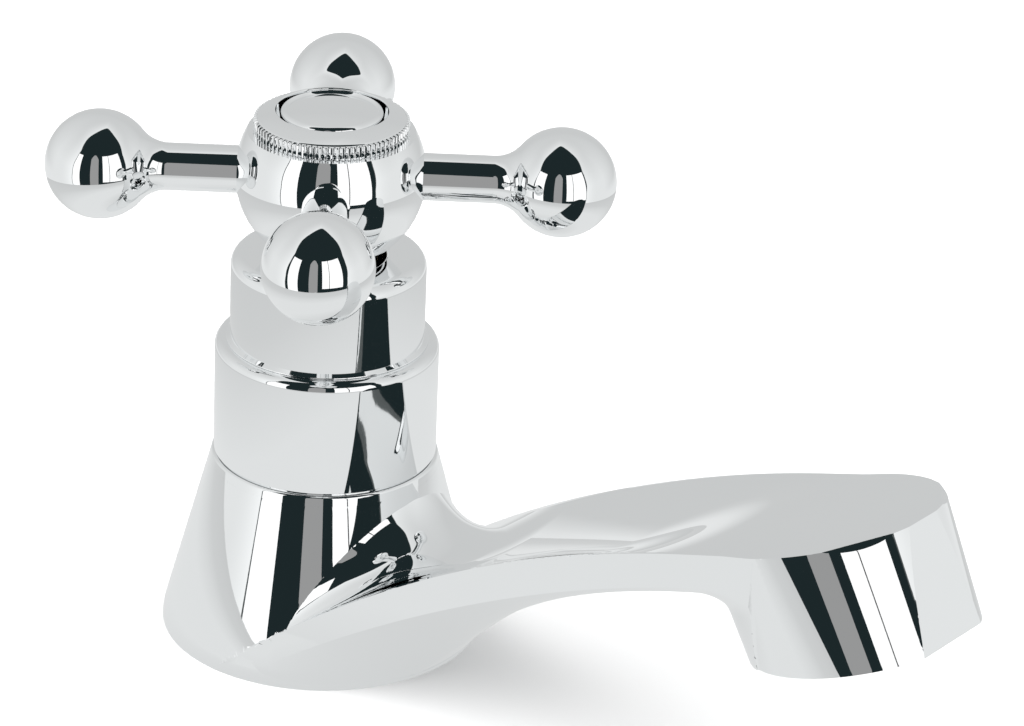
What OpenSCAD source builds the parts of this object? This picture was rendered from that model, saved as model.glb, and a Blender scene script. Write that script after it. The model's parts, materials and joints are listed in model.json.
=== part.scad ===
// Single basin pillar tap with a cross handle and a screw-down valve.
// Millimetres. The origin is the middle of the foot, on the top of the basin.
// +Z points up, and the spout points along -Y.

/* [Foot and body] */
// Diameter of the foot that covers the hole in the basin
foot_d = 49; // [48:0.5:50]
// Height of the upright band round the foot
foot_band_h = 1.2; // [0.8:0.1:2]
// Height of the body's top edge above the basin
body_h = 29; // [28.5:0.1:30]
// Diameter of the body at its top edge
body_top_d = 34.6; // [34.4:0.1:35.6]
// Rounding of the body's top edge
lip_r = 0.6; // [0.4:0.1:1]

/* [Spout] */
// Distance from the tap's axis to the outlet's axis, at the head's top face
head_reach = 95; // [93:0.5:99]
// Height of the head's top face above the basin, at the outlet's axis
head_top_z = 50.7; // [49.7:0.1:51.7]
// Angle that the outlet and the top face lean forward
head_tilt = 18; // [16.5:0.5:19]
// Angle that the head's round side leans back from the outlet's axis
head_lean = 7.5; // [6:0.5:8]
// Depth of the head along its leaning axis
head_depth = 17.9; // [17:0.1:20]
// Radius of the head at its top face
head_top_r = 17.6; // [17.4:0.1:18.2]
// Radius of the head at its outlet end
head_low_r = 16.4; // [16:0.1:17]
// Half the width of the spout at its narrowest
neck_half_w = 16.9; // [16:0.1:17.1]
// Half the width of the top face's front edge
nose_half_w = 5.8; // [5:0.1:6.4]
// Distance of the top face's front edge from the outlet's axis
nose_reach = 13.9; // [13.2:0.1:14.4]
// Turn of the top face's two slanting edges from straight across
facet_turn = 52; // [46:1:56]
// Radius of the long arc along the top of the spout
top_arc_r = 230; // [225:1:235]
// Radius of the arc along the underside of the spout
belly_r = 116; // [112:1:118]
// Height of the flat side of the spout
side_h = 5.2; // [4.8:0.1:5.6]
// Slope of the spout's lower edges
edge_slope = 31; // [28:1:34]

/* [Sleeves] */
// Diameter of the middle sleeve
middle_sleeve_d = 33.9; // [33.4:0.1:34.2]
// Height of the middle sleeve's top face above the basin
middle_sleeve_z = 47.5; // [47.2:0.1:48]
// Diameter of the upper sleeve
upper_sleeve_d = 29.4; // [29:0.1:29.8]
// Height of the upper sleeve's top face above the basin
upper_sleeve_z = 61.4; // [61:0.1:61.8]
// Thickness of both sleeves
sleeve_wall = 1.2; // [1:0.1:1.3]

/* [Handle] */
// Angle of the first arm from the X axis
arm_angle = 38; // [0:1:89]
// Radius of the round hub
hub_r = 14.24; // [14:0.02:14.6]
// Height of the hub's middle, which is also the height of the arms
hub_z = 74.3; // [74:0.1:75]
// Distance from the tap's axis to the middle of each ball
ball_reach = 34.3; // [33:0.1:38]
// Radius of the balls
ball_r = 8.2; // [7.6:0.1:8.6]
// Radius of the arms
arm_r = 3.55; // [3.2:0.05:3.6]
// Radius of the hollow that joins an arm to its ball
flare_r = 5.2; // [4:0.1:6]
// Radius over the teeth of the knurled ring
knurl_r = 11.6; // [11.4:0.1:11.8]
// Number of teeth on the knurled ring
knurl_teeth = 84; // [60:2:96]
// Radius of the button
button_r = 7.7; // [7.4:0.1:7.8]

/* [Valve] */
// Radius of the water hole through the valve seat
seat_hole_r = 4.8; // [4.2:0.1:4.9]
// Radius of the stem where it screws into the bonnet
stem_thread_r = 6; // [5.8:0.1:6.1]
// Radius of the stem where it passes the seals
stem_r = 4.9; // [4.7:0.1:5]
// Number of splines at the top of the stem
spline_teeth = 20; // [16:2:24]

/* [Fastening] */
// Outer radius of the threaded shank
shank_r = 10.2; // [10:0.05:10.4]
// Inner radius of the shank
shank_bore_r = 7; // [6.5:0.1:7.4]
// Length of the shank below the basin's top
shank_length = 48; // [46:1:60]
// Thickness of the basin that the washers are drawn up against
basin_thickness = 18; // [12:1:18]

/* [Hidden] */

$fn = 96;
chrome = [0.86, 0.87, 0.88];
brass = [0.80, 0.66, 0.36];
rubber = [0.12, 0.12, 0.12];
steel = [0.68, 0.69, 0.70];
plastic = [0.92, 0.92, 0.90];

// Radial gap of a running fit, and how far a cut runs past a face
fit_gap = 0.05;
past = 1;
// Sides that stand for the longest arcs
long_arc_fn = 360;

// Heights inside the body, from the basin up
socket_top = 6;
floor_top = 8;
seat_face = 10.5;
bonnet_foot = 17;
seat_barrel_r = 7.8;
chamber_r = 11.5;
shank_flange_r = 13.5;
shank_flange_h = 2.5;
gasket_in_r = 15;
gasket_out_r = 22;
gasket_h = 2;

// Top and underside of the spout, by the distance s from the tap's axis
straight_len = 15;
straight_s = head_reach - straight_len;
straight_z = head_top_z - straight_len * tan(head_tilt);
belly_s = 113.9;
belly_z = -73.5;
edge_arc_r = 236;
edge_tilt = atan(tan(head_tilt) * cos(edge_slope));
root_s = 5;
neck_s = 55;
plan_arc_r = 227;
arm_end_s = head_reach - 3;
arm_end_half_w = 17.1;

// Waterway in the spout: skin above it, its height and half its width
water_skin = 2.2;
water_h = 3.8;
water_half_w = 6;
outlet_r = 12;
outlet_bore_h = 9;
cavity_r = 9;
cavity_skin = 3;

// Heights of the valve and the handle
plate_low = seat_face + 2.5;
plate_top = plate_low + 2;
stem_foot = plate_top + 0.1;
skirt_top = 22;
stem_shoulder = 29.5;
bonnet_step = 34;
hex_low = body_h + 1;
hex_top = hex_low + 5;
web_low = 44;
web_top = 46;
neck_r = 7.5;
neck_top = 52;
packing_top = 53;
gland_top = 54.5;
collar_r = 7.4;
collar_low = 57.5;
spline_low = 60;
stem_top = 71;
hub_web_low = 71.5;
hub_web_top = 72.5;
screw_head_h = 2.5;
pocket_low = 75.5;
ring_low = 81.1;
knurl_h = 2.2;
ring_top = 84.5;
ring_bore_r = 8.35;
button_edge_z = 84;
button_sag = 0.9;
arm_seat = 12.9;
arm_stud_r = 2.5;
arm_stud_in = 8.2;
screw_pocket_r = 5;
spigot_r = 7;
bush_r = 6;

// Jumper pin, washer stud and nut, and the seals in the stem's grooves
pin_r = 2.4;
stud_r = 1.5;
pin_top = 24;
nut_h = 1.9;
seal_z = [38, 44];
seal_h = 2;
seal_depth = 1.4;

// Washers and lock nut under the basin
rubber_washer_h = 2;
steel_washer_h = 1.2;
lock_nut_h = 6;
washer_out_r = 17;
under_basin = -basin_thickness;

// Aerator, along the head's leaning axis
housing_low = -head_depth + 0.5;
housing_top = -outlet_bore_h - 1.4;
housing_rim_h = 0.8;
insert_r = 10.2;
insert_top = housing_top - 1;

// A flat ring, or a washer, between two heights
module ring(outer_r, inner_r, low, high) {
    rotate_extrude()
        translate([inner_r, low])
            square([outer_r - inner_r, high - low]);
}

// A round bar between two heights
module bar(r, low, high) {
    translate([0, 0, low])
        cylinder(r = r, h = high - low);
}

// A six-sided bar between two heights, by the distance across its flats
module hex_bar(flats, low, high) {
    translate([0, 0, low])
        cylinder(r = flats / sqrt(3), h = high - low, $fn = 6);
}

// A toothed outline
function toothed(tip_r, root_r, teeth) =
    [for (i = [0 : 2 * teeth - 1])
        let (r = i % 2 == 0 ? tip_r : root_r, a = i * 180 / teeth)
            [r * cos(a), r * sin(a)]];

// Places its children on the leaning axis of the head, with z = 0 at its top
module on_head() {
    translate([0, -head_reach, head_top_z])
        rotate([-head_tilt, 0, 0])
            children();
}

// Extrudes a side view drawn as [distance, height] across the tap
module across(half_width) {
    translate([-half_width, 0, 0])
        rotate([90, 0, -90])
            mirror([0, 0, 1])
                linear_extrude(2 * half_width)
                    children();
}

// The side view below an arc that runs on as a straight line from a joint
module under_arc(joint, tilt, r, from, to, base) {
    intersection() {
        translate([joint[0] + r * sin(tilt), joint[1] - r * cos(tilt)])
            circle(r = r, $fn = long_arc_fn);
        translate([from, base])
            square([joint[0] - from, joint[1] - base]);
    }
    polygon([[joint[0], base], [to, base],
             [to, joint[1] + (to - joint[0]) * tan(tilt)], joint]);
}

// The side view below the spout's top, or below a line drop mm inside it
module under_top(from, to, drop = 0) {
    joint = [straight_s + drop * sin(head_tilt), straight_z - drop * cos(head_tilt)];
    under_arc(joint, head_tilt, top_arc_r - drop, from, to, 0);
}

// The spout seen from above
module arm_plan() {
    difference() {
        translate([-foot_d / 2, -neck_s])
            square([foot_d, neck_s - root_s]);
        for (side = [-1, 1])
            translate([side * (neck_half_w + plan_arc_r), -neck_s])
                circle(r = plan_arc_r, $fn = long_arc_fn);
    }
    polygon([[neck_half_w, -neck_s], [arm_end_half_w, -arm_end_s],
             [-arm_end_half_w, -arm_end_s], [-neck_half_w, -neck_s]]);
}

// The underside is an arc turned about the tap's axis. Its lower edges slope.
module spout_arm() {
    foot_r = foot_d / 2;
    edge_s = straight_s + side_h * sin(head_tilt);
    edge_z = (straight_z - side_h * cos(head_tilt)) * cos(edge_slope)
             - neck_half_w * sin(edge_slope);
    difference() {
        intersection() {
            across(foot_r + past)
                under_top(root_s, arm_end_s);
            linear_extrude(head_top_z + past)
                arm_plan();
        }
        rotate_extrude()
            intersection() {
                translate([belly_s, belly_z])
                    circle(r = belly_r, $fn = long_arc_fn);
                translate([foot_r, -past])
                    square([belly_s - foot_r, head_top_z]);
            }
        for (turn = [-edge_slope, edge_slope])
            rotate([0, turn, 0])
                across(foot_d)
                    under_arc([edge_s, edge_z], edge_tilt, edge_arc_r,
                              root_s - past, arm_end_s + past, -foot_d);
    }
}

// Cuts away what lies in front of a leaning plane through the X axis
module front_cut(lean) {
    size = 3 * head_top_r;
    rotate([-lean, 0, 0])
        translate([-size, -size, -size])
            cube([2 * size, size, 2 * size]);
}

// A round head with a flat nose. Its top face has two more straight edges, with
// a small facet below each.
module spout_head() {
    nose_lean = 3.5;
    facet_lean = 62;
    over = 4;
    over_r = over * (head_top_r - head_low_r) / head_depth;
    on_head()
        difference() {
            intersection() {
                translate([0, 0, -head_depth])
                    rotate([-head_lean, 0, 0])
                        translate([0, 0, -over])
                            cylinder(r1 = head_low_r - over_r, r2 = head_top_r + over_r,
                                     h = head_depth + 2 * over);
                bar(foot_d, -head_depth, 0);
            }
            translate([0, -nose_reach, 0])
                front_cut(nose_lean);
            for (side = [0, 1])
                mirror([side, 0, 0])
                    translate([nose_half_w, -nose_reach, 0])
                        rotate([0, 0, facet_turn])
                            front_cut(facet_lean);
        }
}

module body_cone() {
    foot_r = foot_d / 2;
    top_r = body_top_d / 2;
    foot_edge = 0.3;
    outline = concat([[0, 0], [foot_r - foot_edge, 0], [foot_r, foot_edge], [foot_r, foot_band_h]],
                     [for (a = [15 : 15 : 90])
                         [top_r - lip_r + lip_r * cos(a), body_h - lip_r + lip_r * sin(a)]],
                     [[0, body_h]]);
    rotate_extrude()
        polygon(outline);
}

// Port from the valve chamber, the flat channel along the arm and the outlet
module waterway() {
    port_s = 8;
    port_len = 13;
    port_low = floor_top + 0.5;
    port_h = 5.7;
    channel_s = 18;
    channel_end = head_reach - 5;
    across(water_half_w)
        translate([port_s, port_low])
            square([port_len, port_h]);
    across(water_half_w)
        difference() {
            under_top(channel_s, channel_end, water_skin);
            under_top(channel_s - past, channel_end + past, water_skin + water_h);
        }
    on_head() {
        bar(cavity_r, -head_depth - past, -cavity_skin);
        bar(outlet_r, -head_depth - past, -outlet_bore_h);
    }
}

module tap_body() {
    color(chrome)
        difference() {
            union() {
                body_cone();
                spout_arm();
                spout_head();
            }
            bar(chamber_r, floor_top, body_h + past);
            bar(seat_barrel_r, 0, floor_top + past);
            bar(shank_r, -past, socket_top);
            bar(shank_flange_r, -past, shank_flange_h);
            ring(gasket_out_r, gasket_in_r, -past, gasket_h);
            waterway();
        }
}

module valve_seat() {
    flange_r = 9;
    flange_h = 1;
    crown_r = 6.3;
    color(brass)
        difference() {
            union() {
                bar(seat_barrel_r, socket_top, floor_top);
                bar(flange_r, floor_top, floor_top + flange_h);
                bar(crown_r, floor_top + flange_h, seat_face);
            }
            bar(seat_hole_r, socket_top - past, seat_face + past);
        }
}

// The shank has a groove between the length that the lock nut uses and the
// length that takes the supply's coupling nut.
module shank() {
    groove_z = -31;
    groove_w = 1.5;
    groove_depth = 0.9;
    color(brass)
        difference() {
            union() {
                bar(shank_r, -shank_length, socket_top);
                bar(shank_flange_r, 0, shank_flange_h);
            }
            bar(shank_bore_r, -shank_length - past, socket_top + past);
            ring(shank_r + past, shank_r - groove_depth, groove_z - groove_w, groove_z);
        }
}

module deck_gasket() {
    color(rubber)
        ring(gasket_out_r, gasket_in_r, 0, gasket_h);
}

module rubber_washer() {
    color(rubber)
        ring(washer_out_r, shank_r + fit_gap, under_basin - rubber_washer_h, under_basin);
}

module steel_washer() {
    low = under_basin - rubber_washer_h - steel_washer_h;
    color(steel)
        ring(washer_out_r, shank_r + fit_gap, low, low + steel_washer_h);
}

module lock_nut() {
    flats = 27;
    top = under_basin - rubber_washer_h - steel_washer_h;
    color(brass)
        difference() {
            hex_bar(flats, top - lock_nut_h, top);
            bar(shank_r + fit_gap, top - lock_nut_h - past, top + past);
        }
}

module aerator_housing() {
    rim_r = 9.4;
    on_head()
        color(chrome)
            difference() {
                bar(outlet_r - fit_gap, housing_low, housing_top);
                bar(insert_r, housing_low + housing_rim_h, housing_top + past);
                bar(rim_r, housing_low - past, housing_top);
            }
}

// Plastic insert with rings of small holes that break up the flow
module aerator_insert() {
    hole_r = 0.8;
    first_ring = 2.4;
    on_head()
        color(plastic)
            difference() {
                bar(insert_r, housing_low + housing_rim_h, insert_top);
                for (row = [1 : 3])
                    for (i = [0 : 6 * row - 1])
                        rotate([0, 0, i * 60 / row])
                            translate([row * first_ring, 0, 0])
                                bar(hole_r, housing_low - past, insert_top + past);
            }
}

module aerator_screen() {
    slot_w = 0.9;
    slot_len = 12;
    slot_pitch = 2.2;
    screen_h = 0.5;
    on_head()
        color(steel)
            difference() {
                bar(insert_r - fit_gap, insert_top, insert_top + screen_h);
                for (i = [-3 : 3])
                    translate([i * slot_pitch - slot_w / 2, -slot_len / 2, insert_top - past])
                        cube([slot_w, slot_len, screen_h + 2 * past]);
            }
}

module aerator_gasket() {
    gap = 0.1;
    lap = 0.4;
    on_head()
        color(rubber)
            ring(outlet_r - gap, cavity_r - lap, housing_top, -outlet_bore_h);
}

// Screw-down headwork. Plain cylinders stand for its threads.
module bonnet() {
    skirt_r = 8.6;
    barrel_r = 9.5;
    hex_flats = 24;
    color(brass)
        difference() {
            union() {
                bar(chamber_r - fit_gap, bonnet_foot, hex_low);
                hex_bar(hex_flats, hex_low, hex_top);
                bar(barrel_r, hex_top, web_low);
                bar(neck_r, web_low, neck_top);
            }
            bar(skirt_r, bonnet_foot - past, skirt_top);
            bar(stem_thread_r + fit_gap, skirt_top - past, bonnet_step);
            bar(stem_r + fit_gap, bonnet_step - past, neck_top + past);
        }
}

module bonnet_gasket() {
    out_r = 13.6;
    color([0.55, 0.28, 0.20])
        ring(out_r, chamber_r, body_h, hex_low);
}

module gland_packing() {
    color([0.88, 0.87, 0.80])
        ring(neck_r, stem_r + fit_gap, neck_top, packing_top);
}

module gland_nut() {
    flats = 18;
    color(brass)
        difference() {
            hex_bar(flats, web_top, gland_top);
            bar(neck_r + fit_gap, web_top - past, packing_top);
            bar(stem_r + fit_gap, packing_top - past, gland_top + past);
        }
}

// Side view of a sleeve with a rounded top edge, as [radius, height]
function sleeve_outline(r, wall, low, high, edge_r, hole_r) =
    concat([[r - wall, low], [r, low]],
           [for (a = [0 : 15 : 90])
               [r - edge_r + edge_r * cos(a), high - edge_r + edge_r * sin(a)]],
           [[hole_r, high], [hole_r, high - wall], [r - wall, high - wall]]);

module middle_sleeve() {
    r = middle_sleeve_d / 2;
    gap_h = 0.3;
    step_w = 0.5;
    edge_r = 1.4;
    color(chrome)
        difference() {
            rotate_extrude()
                polygon(sleeve_outline(r, sleeve_wall, body_h, middle_sleeve_z, edge_r,
                                       upper_sleeve_d / 2 + fit_gap));
            ring(r + past, r - step_w, body_h - past, body_h + gap_h);
        }
}

// The upper sleeve stands on the bonnet's shoulder, where the gland nut holds
// it by a web, and its bead holds the middle sleeve down.
module upper_sleeve() {
    r = upper_sleeve_d / 2;
    foot_z = 40;
    edge_r = 2;
    opening_r = 8.6;
    bead_r = r + 0.6;
    bead_h = 0.7;
    color(chrome)
        union() {
            rotate_extrude()
                polygon(sleeve_outline(r, sleeve_wall, foot_z, upper_sleeve_z, edge_r, opening_r));
            ring(r - sleeve_wall / 2, neck_r + fit_gap, web_low, web_top);
            rotate_extrude()
                polygon([[r - sleeve_wall / 2, middle_sleeve_z], [bead_r, middle_sleeve_z],
                         [r, middle_sleeve_z + bead_h], [r - sleeve_wall / 2, middle_sleeve_z + bead_h]]);
        }
}

// Loose jumper: it rises with the stem but need not turn with it
module jumper_valve() {
    plate_r = 7.5;
    color(brass)
        union() {
            bar(plate_r, plate_low, plate_top);
            bar(pin_r, plate_top, pin_top);
            bar(stud_r, seat_face - nut_h, plate_low);
        }
}

module seat_washer() {
    washer_r = 7.2;
    color(rubber)
        ring(washer_r, stud_r, seat_face, plate_low);
}

module washer_nut() {
    flats = 5.5;
    color(brass)
        difference() {
            hex_bar(flats, seat_face - nut_h, seat_face);
            bar(stud_r, seat_face - nut_h - past, seat_face + past);
        }
}

module stem() {
    spline_r = 3.95;
    shaft_r = 4.2;
    spline_depth = 0.3;
    screw_r = 2;
    screw_depth = 8;
    pin_hole_top = 25;
    shaft_low = gland_top + 1;
    color(brass)
        difference() {
            union() {
                bar(stem_thread_r, stem_foot, stem_shoulder);
                bar(stem_r, stem_shoulder, shaft_low);
                bar(shaft_r, shaft_low, spline_low);
                translate([0, 0, spline_low])
                    linear_extrude(stem_top - spline_low)
                        polygon(toothed(spline_r, spline_r - spline_depth, spline_teeth));
            }
            bar(pin_r + fit_gap, stem_foot - past, pin_hole_top);
            bar(screw_r, stem_top - screw_depth, stem_top + past);
            for (z = seal_z)
                ring(stem_r + past, stem_r - seal_depth, z, z + seal_h);
        }
}

module stem_seals() {
    seal_gap = 0.02;
    color(rubber)
        for (z = seal_z)
            ring(stem_r + seal_gap, stem_r - seal_depth, z, z + seal_h);
}

module spline_bush() {
    spline_bore_r = 4;
    color(brass)
        ring(bush_r, spline_bore_r, spline_low, hub_web_low);
}

// Places its children along an arm, with +Z running out from the hub
module on_arm(i) {
    translate([0, 0, hub_z])
        rotate([0, 90, arm_angle + 90 * i])
            children();
}

module handle_hub() {
    hub_low = upper_sleeve_z + 1.4;
    collar_top = hub_low + 0.6;
    screw_hole_r = 2.2;
    color(chrome)
        difference() {
            union() {
                intersection() {
                    translate([0, 0, hub_z])
                        sphere(r = hub_r);
                    bar(hub_r + past, hub_low, ring_low);
                }
                bar(collar_r, collar_low, collar_top);
            }
            bar(bush_r, collar_low - past, hub_web_low);
            bar(screw_hole_r, hub_web_low - past, hub_web_top + past);
            bar(screw_pocket_r, hub_web_top, pocket_low + past);
            bar(spigot_r + fit_gap, pocket_low, ring_low + past);
            for (i = [0 : 3])
                on_arm(i) {
                    bar(arm_stud_r, arm_stud_in, arm_seat + past);
                    bar(arm_r + fit_gap, arm_seat, hub_r + past);
                }
        }
}

// One arm: stud, bar, hollow flare and ball
module handle_arm(i) {
    flare_reach = sqrt(pow(ball_r + flare_r, 2) - pow(arm_r + flare_r, 2));
    flare_low = ball_reach - flare_reach;
    flare_end = acos((arm_r + flare_r) / (ball_r + flare_r));
    flare_steps = 8;
    ball_lap = 2;
    flare = concat([[0, flare_low]],
                   [for (k = [0 : flare_steps])
                       let (a = 180 - k * (90 - flare_end) / flare_steps)
                           [arm_r + flare_r + flare_r * cos(a), flare_low + flare_r * sin(a)]],
                   [[0, ball_reach - ball_lap]]);
    on_arm(i)
        color(chrome)
            union() {
                bar(arm_stud_r, arm_stud_in, arm_seat);
                bar(arm_r, arm_seat, flare_low);
                rotate_extrude()
                    polygon(flare);
                translate([0, 0, ball_reach])
                    sphere(r = ball_r);
            }
}

module handle_arm_1() { handle_arm(0); }
module handle_arm_2() { handle_arm(1); }
module handle_arm_3() { handle_arm(2); }
module handle_arm_4() { handle_arm(3); }

// Teeth below, and above them a small chamfer and a cone that falls to the edge
module knurled_ring() {
    tooth_depth = 0.35;
    tooth_root_r = knurl_r - tooth_depth;
    cone_r = tooth_root_r - 0.15;
    chamfer_w = 0.6;
    chamfer_h = 0.4;
    teeth_top = ring_low + knurl_h;
    color(chrome)
        difference() {
            union() {
                translate([0, 0, ring_low])
                    linear_extrude(knurl_h)
                        polygon(toothed(knurl_r, tooth_root_r, knurl_teeth));
                rotate_extrude()
                    polygon([[0, teeth_top], [cone_r, teeth_top],
                             [cone_r - chamfer_w, teeth_top + chamfer_h],
                             [ring_bore_r, ring_top], [0, ring_top]]);
            }
            bar(ring_bore_r, ring_low - past, ring_top + past);
        }
}

module button_cap() {
    spigot_h = 4;
    dome_r = (button_r * button_r + button_sag * button_sag) / (2 * button_sag);
    color(chrome)
        union() {
            intersection() {
                bar(button_r, ring_low, button_edge_z + button_sag + past);
                translate([0, 0, button_edge_z + button_sag - dome_r])
                    sphere(r = dome_r);
            }
            bar(spigot_r, ring_low - spigot_h, ring_low);
        }
}

module handle_screw() {
    head_r = 3.8;
    thread_r = 1.95;
    thread_in = 6;
    slot_w = 0.9;
    slot_len = 5.6;
    slot_depth = 1;
    head_top = hub_web_top + screw_head_h;
    color(steel)
        difference() {
            union() {
                bar(thread_r, stem_top - thread_in, hub_web_top);
                bar(head_r, hub_web_top, head_top);
            }
            for (turn = [0, 90])
                rotate([0, 0, turn])
                    translate([-slot_w / 2, -slot_len / 2, head_top - slot_depth])
                        cube([slot_w, slot_len, slot_depth + past]);
        }
}

tap_body();
valve_seat();
shank();
deck_gasket();
rubber_washer();
steel_washer();
lock_nut();
aerator_housing();
aerator_insert();
aerator_screen();
aerator_gasket();
bonnet();
bonnet_gasket();
gland_packing();
gland_nut();
middle_sleeve();
upper_sleeve();
jumper_valve();
seat_washer();
washer_nut();
stem();
stem_seals();
spline_bush();
handle_hub();
handle_arm_1();
handle_arm_2();
handle_arm_3();
handle_arm_4();
knurled_ring();
button_cap();
handle_screw();
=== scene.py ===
import json
import math

import bpy
import numpy as np
from mathutils import Matrix, Vector


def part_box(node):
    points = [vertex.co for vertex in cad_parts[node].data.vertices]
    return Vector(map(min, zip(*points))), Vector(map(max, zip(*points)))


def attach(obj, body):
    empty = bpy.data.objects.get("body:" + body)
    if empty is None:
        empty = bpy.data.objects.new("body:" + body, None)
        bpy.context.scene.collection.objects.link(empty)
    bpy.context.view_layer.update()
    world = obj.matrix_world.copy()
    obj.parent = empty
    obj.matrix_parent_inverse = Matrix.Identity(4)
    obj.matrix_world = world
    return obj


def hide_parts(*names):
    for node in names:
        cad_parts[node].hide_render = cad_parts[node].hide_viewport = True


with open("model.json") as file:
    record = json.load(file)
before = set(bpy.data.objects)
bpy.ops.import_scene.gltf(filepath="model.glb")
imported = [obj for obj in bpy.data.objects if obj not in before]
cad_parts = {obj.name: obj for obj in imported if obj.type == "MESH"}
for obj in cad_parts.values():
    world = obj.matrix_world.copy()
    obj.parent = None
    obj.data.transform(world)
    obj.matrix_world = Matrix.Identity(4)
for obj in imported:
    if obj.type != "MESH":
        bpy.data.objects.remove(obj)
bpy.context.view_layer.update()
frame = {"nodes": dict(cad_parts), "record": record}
MM = 0.001
TAN = math.tan
COS = math.cos
SIN = math.sin


def mm_box(node):
    lo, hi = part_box(node)
    return np.array(lo) / MM, np.array(hi) / MM


def ramp(value, start, end):
    """0 at start, 1 at end and straight between them."""
    return np.clip((value - start) / (end - start), 0, 1)


def unit(n):
    return n / np.maximum(np.linalg.norm(n, axis=-1, keepdims=True), 1e-9)


# ---------------------------------------------------------------- materials
def node_material(name, base, metallic, rough, rough_range, rough_scale, bump, bump_scale, tint,
                  stretch=(1, 1, 1)):
    """A procedural material. Noise moves the roughness by rough_range each way, darkens the base
    colour by up to tint and raises bumps. Stretch scales the noise along each axis."""
    mat = bpy.data.materials.new(name)
    mat.use_nodes = True
    nodes, links = mat.node_tree.nodes, mat.node_tree.links
    bsdf = nodes["Principled BSDF"]
    bsdf.inputs["Metallic"].default_value = metallic
    bsdf.inputs["Roughness"].default_value = rough
    bsdf.inputs["Base Color"].default_value = (*base, 1)
    coord = nodes.new("ShaderNodeTexCoord")
    mapping = nodes.new("ShaderNodeMapping")
    mapping.inputs["Scale"].default_value = stretch
    links.new(coord.outputs["Object"], mapping.inputs["Vector"])

    def noise(scale, detail=3.0):
        tex = nodes.new("ShaderNodeTexNoise")
        tex.inputs["Scale"].default_value = scale
        tex.inputs["Detail"].default_value = detail
        links.new(mapping.outputs["Vector"], tex.inputs["Vector"])
        return tex.outputs["Fac"]

    def spread(fac, low, high, to_low, to_high):
        span = nodes.new("ShaderNodeMapRange")
        span.inputs["From Min"].default_value = low
        span.inputs["From Max"].default_value = high
        span.inputs["To Min"].default_value = to_low
        span.inputs["To Max"].default_value = to_high
        links.new(fac, span.inputs["Value"])
        return span.outputs["Result"]

    rough_out = spread(noise(rough_scale), 0.3, 0.7, max(rough - rough_range, 0.0), rough + rough_range)
    links.new(rough_out, bsdf.inputs["Roughness"])

    mix = nodes.new("ShaderNodeMix")
    mix.data_type = "RGBA"
    mix.inputs["A"].default_value = (*(c * (1 - tint) for c in base), 1)
    mix.inputs["B"].default_value = (*base, 1)
    links.new(spread(noise(rough_scale * 0.4, 4.0), 0.35, 0.6, 0, 1), mix.inputs["Factor"])
    links.new(mix.outputs["Result"], bsdf.inputs["Base Color"])

    raised = nodes.new("ShaderNodeBump")
    raised.inputs["Strength"].default_value = bump
    raised.inputs["Distance"].default_value = 0.0001
    links.new(noise(bump_scale), raised.inputs["Height"])
    links.new(raised.outputs["Normal"], bsdf.inputs["Normal"])
    return mat


CHROME = (0.93, 0.94, 0.945)
BRASS = (0.78, 0.60, 0.30)
# Name, base colour, metallic, roughness with its range and noise scale, bump with its noise scale,
# tint, and the noise's stretch where a piece is turned
LOOK_ROWS = (
    ("chrome_body", CHROME, 1, 0.022, 0.008, 60, 0.012, 220, 0.012),
    ("chrome_sleeve", CHROME, 1, 0.02, 0.008, 70, 0.01, 250, 0.012),
    ("chrome_handle", CHROME, 1, 0.018, 0.006, 80, 0.01, 300, 0.012),
    ("chrome_trim", CHROME, 1, 0.03, 0.012, 90, 0.02, 500, 0.02),
    ("seat_brass", BRASS, 1, 0.26, 0.08, 500, 0.3, 2500, 0.16, (1, 1, 8)),
    ("shank_brass", BRASS, 1, 0.28, 0.08, 350, 0.3, 2000, 0.18, (1, 1, 5)),
    ("nut_brass", (0.80, 0.63, 0.34), 1, 0.30, 0.08, 450, 0.35, 2500, 0.16),
    ("valve_brass", (0.76, 0.59, 0.31), 1, 0.25, 0.08, 500, 0.3, 3000, 0.16, (1, 1, 8)),
    ("stem_brass", (0.80, 0.62, 0.32), 1, 0.20, 0.07, 500, 0.2, 3000, 0.12, (1, 1, 10)),
    ("bush_brass", BRASS, 1, 0.30, 0.08, 600, 0.3, 3000, 0.15),
    ("black_rubber", (0.028, 0.028, 0.03), 0, 0.6, 0.12, 500, 0.5, 2600, 0.3),
    ("washer_steel", (0.62, 0.62, 0.63), 1, 0.3, 0.1, 300, 0.3, 1800, 0.12),
    ("screen_steel", (0.64, 0.64, 0.65), 1, 0.24, 0.08, 700, 0.3, 4000, 0.1),
    ("screw_steel", (0.60, 0.60, 0.62), 1, 0.26, 0.08, 700, 0.25, 4000, 0.1),
    ("aerator_plastic", (0.80, 0.81, 0.80), 0, 0.42, 0.08, 500, 0.2, 2500, 0.05),
    ("fibre_gasket", (0.34, 0.12, 0.07), 0, 0.75, 0.1, 900, 0.6, 3500, 0.35),
    ("packing_white", (0.80, 0.79, 0.72), 0, 0.6, 0.1, 900, 0.5, 3500, 0.12),
)
LOOKS = {row[0]: node_material(*row) for row in LOOK_ROWS}
NODE_SLOT = {part["node"]: part["material_slot"] for part in frame["record"]["subparts"]}
REMADE = set()


# ------------------------------------------------------------------- meshes
def build_mesh(name, verts, faces, loop_normals=None):
    mesh = bpy.data.meshes.new(name)
    mesh.from_pydata((verts * MM).tolist(), [], faces)
    mesh.polygons.foreach_set("use_smooth", np.ones(len(mesh.polygons), bool))
    mesh.update()
    if loop_normals is not None:
        mesh.normals_split_custom_set(loop_normals.tolist())
    obj = bpy.data.objects.new(name, mesh)
    bpy.context.scene.collection.objects.link(obj)
    return obj


def dress(obj, body, look, node):
    """Put a remade piece on its body, in its material, in place of its CAD node."""
    obj.data.materials.append(LOOKS[look])
    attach(obj, body)
    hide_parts(node)
    REMADE.add(node)


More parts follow.
